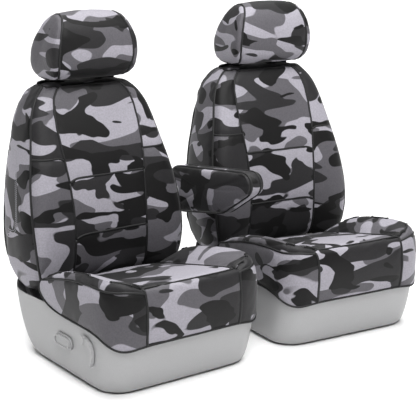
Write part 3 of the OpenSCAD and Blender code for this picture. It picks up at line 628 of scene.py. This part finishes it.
def close_top(bm, top_z, panel_id):
    """Closes the backrest cover's open top with a slightly crowned cap."""
    panel = bm.faces.layers.int["panel"]
    ring = [e for e in bm.edges if e.is_boundary and min(v.co.z for v in e.verts) > top_z - 2 * MM]
    centre = sum((v.co for e in ring for v in e.verts), Vector()) / (2 * len(ring))
    cap = []
    for share, rise in CAP_RINGS:
        made = bmesh.ops.extrude_edge_only(bm, edges=ring)["geom"]
        for v in (g for g in made if isinstance(g, bmesh.types.BMVert)):
            v.co = Vector((centre.x + (v.co.x - centre.x) * share, centre.y + (v.co.y - centre.y) * share,
                           top_z + rise))
        cap += [g for g in made if isinstance(g, bmesh.types.BMFace)]
        ring = [g for g in made if isinstance(g, bmesh.types.BMEdge)]
    lid = bmesh.ops.contextual_create(bm, geom=ring)["faces"]
    cap += bmesh.ops.poke(bm, faces=lid)["faces"]
    for face in cap:
        face[panel] = panel_id


def laid_over(obj, name):
    """The same cover on the right seat: the left one's mirror image."""
    mesh = obj.data.copy()
    mesh.transform(pair_map())
    mesh.flip_normals()
    made = bpy.data.objects.new(name, mesh)
    bpy.context.scene.collection.objects.link(made)
    return made


def make_covers(name, nodes, pad, body, seed, top=None):
    """A padded cover for each seat: its panels sewn together, swelled over the pad and puckered, with the
    cords of its seams."""
    cover = bpy.context.scene.cover_sizes
    bm, names = sewn_shell(nodes, pad)
    if top is not None:
        close_top(bm, top, len(names))
        names.append(nodes[-1])
        bmesh.ops.recalc_face_normals(bm, faces=bm.faces)
    left = to_object(bm, f"left_{name}", "camouflage_neoprene")
    subdivide(left, 2)
    settle(left, held_verts(left.data))
    subdivide(left, 1)
    pucker(left, held_verts(left.data), cover.wrinkle)
    cords = seam_cords(left, names, f"left_{name}_piping")
    pairs = ((left, cords), (laid_over(left, f"right_{name}"), laid_over(cords, f"right_{name}_piping")))
    MEETINGS[f"right_{name}"] = [pair_map() @ p for p in MEETINGS[f"left_{name}"]]
    for i, side in enumerate(SIDES):
        fabric, cord = pairs[i]
        lay_print(fabric, seed + i * 2.3)
        dress(fabric, f"{side}_{body}", [f"{side}_{n}" for n in nodes])
        dress(cord, f"{side}_{body}", [])


def make_pad(node, body, levels=1):
    """The foam pad, rounded from its plain solid."""
    bm = node_mesh(node)
    join_quads(bm)
    obj = to_object(bm, node + "_foam", "moulded_foam")
    subdivide(obj, levels)
    return dress(obj, body, [node])


# ---- The photograph's rays and points ----

def photo_ray(x, y):
    """Start and direction of the ray through a point of the photograph."""
    camera = bpy.context.scene.camera
    data, longest = camera.data, max(PHOTO_W, PHOTO_H)
    aim = Vector((x - PHOTO_W / 2 + data.shift_x * longest, PHOTO_H / 2 - y + data.shift_y * longest,
                  -longest * data.lens / data.sensor_width))
    direction = (camera.matrix_world.to_3x3() @ aim).normalized()
    return camera.matrix_world.translation.copy(), direction


def surface_tree(obj):
    """The finished surface of an object as a tree for rays and nearest places."""
    mesh = obj.data
    return BVHTree.FromPolygons([v.co for v in mesh.vertices], [p.vertices for p in mesh.polygons])


def photo_place(name, tree):
    """Where a named image point falls on a surface: its ray's first hit, or else the place nearest the
    ray."""
    start, aim = photo_ray(*IMAGE_POINTS[name][:2])
    hit = tree.ray_cast(start, aim)[0]
    if hit is not None:
        return hit
    # Places one centimetre apart along the ray, from one to seven metres
    along = [start + aim * (cm * 0.01) for cm in range(100, 700)]
    return min((tree.find_nearest(p) for p in along), key=lambda found: found[3])[0]


# ---- Stitching and the armrest's shell ----

def evenly(points, step):
    """Points at even steps along an open line."""
    made, left = [points[0]], step
    for a, b in zip(points, points[1:]):
        length = math.dist(a, b)
        gone = left
        while gone <= length:
            made.append((a[0] + (b[0] - a[0]) * gone / length, a[1] + (b[1] - a[1]) * gone / length))
            gone += step
        left = gone - length
    return made


# Stitches on the backrest's side: height over the cloth, radius of the thread, and points along each stitch
# with the gap after it
THREAD_LIFT = 0.3 * MM
THREAD_RADIUS = 0.7 * MM
POINTS_PER_STITCH = 4


def side_stitching(cover, bend=26 * MM, reach=30 * MM, apart=7 * MM):
    """The double row of stitches on the outer side of the backrest: down the side, and round to the rear at
    both ends."""
    sizes = bpy.context.scene.cover_seams
    tree = surface_tree(cover)
    upper, lower = (photo_place(f"side stitching {end}", tree) for end in ("top", "bottom"))
    MEETINGS["left_backrest_stitching"] = [upper, lower]
    quarter = [math.pi / 2 * k / 5 for k in range(1, 5)]
    bm = bmesh.new()
    for row in (-apart / 2, apart / 2):
        turn = bend + row
        path = [(upper.y + bend + reach, upper.z + turn), (upper.y + bend, upper.z + turn)]
        path += [(upper.y + bend - turn * math.sin(t), upper.z + turn * math.cos(t)) for t in quarter]
        path += [(upper.y - row, upper.z), (lower.y - row, lower.z)]
        path += [(lower.y + bend - turn * math.cos(t), lower.z - turn * math.sin(t)) for t in quarter]
        path += [(lower.y + bend, lower.z - turn), (lower.y + bend + reach, lower.z - turn)]
        places = []
        for y, z in evenly(path, sizes.stitch / POINTS_PER_STITCH):
            hit = tree.ray_cast(Vector((-5.0, y, z)), Vector((1.0, 0.0, 0.0)))
            if hit[0] is not None:
                places.append(hit[0] + hit[1] * THREAD_LIFT)
        for i in range(0, len(places) - POINTS_PER_STITCH + 1, POINTS_PER_STITCH):
            sweep(bm, places[i:i + POINTS_PER_STITCH], THREAD_RADIUS, sides=5)
    return to_object(bm, "left_backrest_stitching", "thread")


def outline_of(node):
    """Side outline of an extruded band, in order, as points in Y and Z."""
    bm = node_mesh(node)
    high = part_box(node)[1]
    flat = [f for f in bm.faces if abs(f.normal.x) > 0.95 and f.calc_center_median().x > high.x - 0.1 * MM]
    edges = [e for f in flat for e in f.edges if sum(g in flat for g in e.link_faces) == 1]
    runs = chains([(e.verts[0].index, e.verts[1].index) for e in dict.fromkeys(edges)])
    bm.verts.ensure_lookup_table()
    loops = [[bm.verts[i].co.copy() for i in run[:-1]] for run in runs if run[0] == run[-1]]
    longest = max(loops, key=lambda loop: max(p.y for p in loop) - min(p.y for p in loop))
    bm.free()
    return [(p.y, p.z) for p in longest]


def spaced(points, step):
    """Points at even steps along a closed outline."""
    lengths = [math.dist(a, b) for a, b in zip(points, points[1:] + points[:1])]
    total = sum(lengths)
    count = max(8, round(total / step))
    made, i, gone = [], 0, 0.0
    for k in range(count):
        want = total * k / count
        while gone + lengths[i] < want:
            gone += lengths[i]
            i += 1
        a, b = points[i], points[(i + 1) % len(points)]
        q = (want - gone) / lengths[i]
        made.append((a[0] + (b[0] - a[0]) * q, a[1] + (b[1] - a[1]) * q))
    return made


def inward_ways(ring):
    """Unit directions into a closed outline whose inside lies on its left."""
    ways = []
    for i in range(len(ring)):
        before, after = ring[i - 1], ring[(i + 1) % len(ring)]
        along = Vector((after[0] - before[0], after[1] - before[1])).normalized()
        ways.append((-along.y, along.x))
    return ways


# Rows across the armrest's cover, from one side to the other: place across as a share of the half width,
# distance in from the band's outline in mm, and the panel of the faces up to the next row
ARMREST_ROWS = ((-1.0, 22, 0), (-1.0, 8, 0), (-0.97, 1.5, 0), (-0.62, -0.5, 1), (0.0, -1.5, 1),
                (0.62, -0.5, 2), (0.97, 1.5, 2), (1.0, 8, 2), (1.0, 22, 2))
ARMREST_PANELS = ("armrest_side_panels", "armrest_band", "armrest_side_panels")


def armrest_shell():
    """The armrest's cover as one shell: rows of points round the band's outline, closed at both sides."""
    low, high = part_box("left_armrest_side_panels")
    half, centre = (high.x - low.x) / 2, (low.x + high.x) / 2
    ring = spaced(outline_of("left_armrest_band"), 12 * MM)
    count = len(ring)
    if sum(ring[i - 1][0] * ring[i][1] - ring[i][0] * ring[i - 1][1] for i in range(count)) < 0:
        ring.reverse()
    ways = inward_ways(ring)
    bm = bmesh.new()
    panel = bm.faces.layers.int.new("panel")
    grid = [[bm.verts.new((centre + half * x, p[0] + way[0] * inset * MM, p[1] + way[1] * inset * MM))
             for p, way in zip(ring, ways)] for x, inset, _ in ARMREST_ROWS]
    for row, (this, after) in enumerate(zip(grid, grid[1:])):
        for i in range(count):
            j = (i + 1) % count
            bm.faces.new((this[i], this[j], after[j], after[i]))[panel] = ARMREST_ROWS[row][2]
    for row in (0, -1):
        rim = [bm.edges.get((grid[row][i], grid[row][(i + 1) % count])) for i in range(count)]
        lid = bmesh.ops.contextual_create(bm, geom=rim)["faces"]
        for face in bmesh.ops.poke(bm, faces=lid)["faces"]:
            face[panel] = ARMREST_ROWS[row][2]
    bmesh.ops.recalc_face_normals(bm, faces=bm.faces)
    return bm


# ---- Studio ----

def make_camera(scene):
    """The camera at the photograph's viewing angle."""
    data = bpy.data.cameras.new("camera")
    camera = bpy.data.objects.new("camera", data)
    scene.collection.objects.link(camera)
    data.sensor_fit = "AUTO"
    data.sensor_width = SENSOR
    data.lens = CAMERA["lens"]
    data.clip_start = 0.1
    data.clip_end = 100.0
    level = math.cos(CAMERA["pitch"])
    aim = Vector((math.sin(CAMERA["heading"]) * level, math.cos(CAMERA["heading"]) * level,
                  math.sin(CAMERA["pitch"])))
    turn = aim.to_track_quat("-Z", "Y").to_matrix().to_4x4()
    camera.matrix_world = Matrix.Translation(CAMERA["place"]) @ turn
    scene.camera = camera


def make_floor(scene, half_width=14.0):
    """A plain pale floor, just under what stands on it."""
    mesh = bpy.data.meshes.new("floor")
    bm = bmesh.new()
    bmesh.ops.create_grid(bm, x_segments=8, y_segments=8, size=half_width)
    bm.to_mesh(mesh)
    bm.free()
    floor = bpy.data.objects.new("floor", mesh)
    scene.collection.objects.link(floor)
    floor.location.z = -0.4 * MM
    material, _, surface = new_material("white_sweep", Roughness=0.9)
    surface.inputs["Base Color"].default_value = linear("#f4f4f4")
    mesh.materials.append(material)


def make_backdrop(scene):
    """A world that the camera sees white, while light and reflections from it are dim."""
    world = bpy.data.worlds.new("studio")
    scene.world = world
    world.use_nodes = True
    tree = world.node_tree
    back = tree.nodes["Background"]
    rays = add(tree, "ShaderNodeLightPath")
    level = add(tree, "ShaderNodeMapRange", {"Value": rays.outputs["Is Camera Ray"], "To Min": 0.22,
                                             "To Max": 1.0})
    tree.links.new(level.outputs[0], back.inputs["Strength"])
    back.inputs["Color"].default_value = (1.0, 1.0, 1.0, 1.0)


# Two suns, wide enough for soft shadows: name, the direction it shines from, width in degrees and strength
SUNS = (("key", (-1.0, -2.0, 3.0), 30, 2.0), ("top", (0.3, 0.9, 3.0), 45, 2.7))


def add_light(scene, name, kind, place, source, **settings):
    """A lamp at a place, which shines from the direction of source."""
    lamp = bpy.data.lights.new(name, kind)
    for key, value in settings.items():
        setattr(lamp, key, value)
    obj = bpy.data.objects.new(name, lamp)
    scene.collection.objects.link(obj)
    obj.location = place
    obj.rotation_euler = Vector(source).to_track_quat("Z", "Y").to_euler()


# ---- Operators ----

class SEATCOVER_OT_materials(bpy.types.Operator):
    """Make the materials and give the frame's rigid pieces theirs"""
    bl_idname = "seatcover.materials"
    bl_label = "Materials"

    def execute(self, context):
        MATERIALS.update(make_materials())
        for part in frame["record"]["subparts"]:
            node = frame["nodes"][part["node"]]
            for slot in node.material_slots:
                slot.material = MATERIALS[part["material_slot"]]
        return {"FINISHED"}


class SEATCOVER_OT_cushions(bpy.types.Operator):
    """Make the cushion covers, with their bolsters, piping and front panels"""
    bl_idname = "seatcover.cushions"
    bl_label = "Cushion Covers"

    def execute(self, context):
        make_covers("cushion_cover", CUSHION_COVER, "cushion_foam", "seat", 1.3)
        for side in SIDES:
            make_pad(f"{side}_cushion_foam", f"{side}_seat")
        return {"FINISHED"}


class SEATCOVER_OT_backrests(bpy.types.Operator):
    """Make the backrest covers, with their bolsters, piping and rear panels"""
    bl_idname = "seatcover.backrests"
    bl_label = "Backrest Covers"

    def execute(self, context):
        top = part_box("right_back_side_panels")[1].z
        make_covers("backrest_cover", BACK_COVER, "back_foam", "backrest", 4.9, top)
        stitches = side_stitching(bpy.data.objects["left_backrest_cover"])
        dress(stitches, "left_backrest", [])
        dress(laid_over(stitches, "right_backrest_stitching"), "right_backrest", [])
        for side in SIDES:
            make_pad(f"{side}_back_foam", f"{side}_backrest")
        return {"FINISHED"}


class SEATCOVER_OT_headrests(bpy.types.Operator):
    """Make the headrest covers"""
    bl_idname = "seatcover.headrests"
    bl_label = "Headrest Covers"

    def execute(self, context):
        make_covers("headrest_cover", HEAD_COVER, "headrest_core", "headrest", 8.2)
        for side in SIDES:
            make_pad(f"{side}_headrest_core", f"{side}_headrest")
        return {"FINISHED"}


class SEATCOVER_OT_armrest(bpy.types.Operator):
    """Make the armrest cover: a band round a flat pad, with piped edges and two side panels"""
    bl_idname = "seatcover.armrest"
    bl_label = "Armrest Cover"

    def execute(self, context):
        obj = to_object(armrest_shell(), "left_armrest_cover", "camouflage_neoprene")
        subdivide(obj, 1)
        settle(obj, held_verts(obj.data))
        subdivide(obj, 1)
        pucker(obj, held_verts(obj.data), context.scene.cover_sizes.wrinkle * 0.6)
        lay_print(obj, 2.7)
        dress(obj, "left_armrest", ["left_armrest_side_panels", "left_armrest_band", "left_armrest_core"])
        cords = seam_cords(obj, ARMREST_PANELS, "left_armrest_cover_piping")
        dress(cords, "left_armrest", [])
        return {"FINISHED"}


class SEATCOVER_OT_bases(bpy.types.Operator):
    """Round the moulded shrouds of the seat bases"""
    bl_idname = "seatcover.bases"
    bl_label = "Base Shrouds"

    def execute(self, context):
        for side in SIDES:
            node = f"{side}_base_shroud"
            bm = node_mesh(node)
            join_quads(bm)
            obj = to_object(bm, f"{side}_base_shell", "grey_plastic")
            subdivide(obj, 2)
            dress(obj, f"{side}_seat", [node])
        return {"FINISHED"}


class SEATCOVER_OT_studio(bpy.types.Operator):
    """Make the floor, the soft lights and the camera"""
    bl_idname = "seatcover.studio"
    bl_label = "Studio"

    def execute(self, context):
        context.scene.view_settings.view_transform = "Standard"
        make_camera(context.scene)
        make_floor(context.scene)
        make_backdrop(context.scene)
        for name, place, width, strength in SUNS:
            add_light(context.scene, name, "SUN", place, place, angle=math.radians(width), energy=strength)
        # A soft box over the seats' front lifts the shoulders and the cushions' front edges
        add_light(context.scene, "soft_box", "AREA", (0.1, -0.75, 1.95), (0.0, -0.45, 1.0), shape="RECTANGLE",
                  size=1.8, size_y=0.7, energy=26.0)
        return {"FINISHED"}


OPERATORS = (SEATCOVER_OT_materials, SEATCOVER_OT_studio, SEATCOVER_OT_bases, SEATCOVER_OT_cushions,
             SEATCOVER_OT_backrests, SEATCOVER_OT_headrests, SEATCOVER_OT_armrest)


class SEATCOVER_PT_panel(bpy.types.Panel):
    """Sizes, colours and pieces of the seat cover set"""
    bl_label = "Seat Covers"
    bl_idname = "SEATCOVER_PT_panel"
    bl_space_type = "VIEW_3D"
    bl_region_type = "UI"
    bl_category = "Seat Covers"

    def draw(self, context):
        for group in (context.scene.cover_fabric, context.scene.cover_sizes, context.scene.cover_seams):
            box = self.layout.box()
            for name in group.__annotations__:
                box.prop(group, name)
        for operator in OPERATORS:
            self.layout.operator(operator.bl_idname)


CLASSES = (FabricSettings, CoverSettings, SeamSettings) + OPERATORS + (SEATCOVER_PT_panel,)


def register():
    for cls in CLASSES:
        bpy.utils.register_class(cls)
    bpy.types.Scene.cover_fabric = PointerProperty(type=FabricSettings)
    bpy.types.Scene.cover_sizes = PointerProperty(type=CoverSettings)
    bpy.types.Scene.cover_seams = PointerProperty(type=SeamSettings)


def unregister():
    del bpy.types.Scene.cover_fabric, bpy.types.Scene.cover_sizes, bpy.types.Scene.cover_seams
    for cls in reversed(CLASSES):
        bpy.utils.unregister_class(cls)


def main():
    register()
    for operator in OPERATORS:
        family, name = operator.bl_idname.split(".")
        getattr(getattr(bpy.ops, family), name)()


if __name__ == "__main__":
    main()
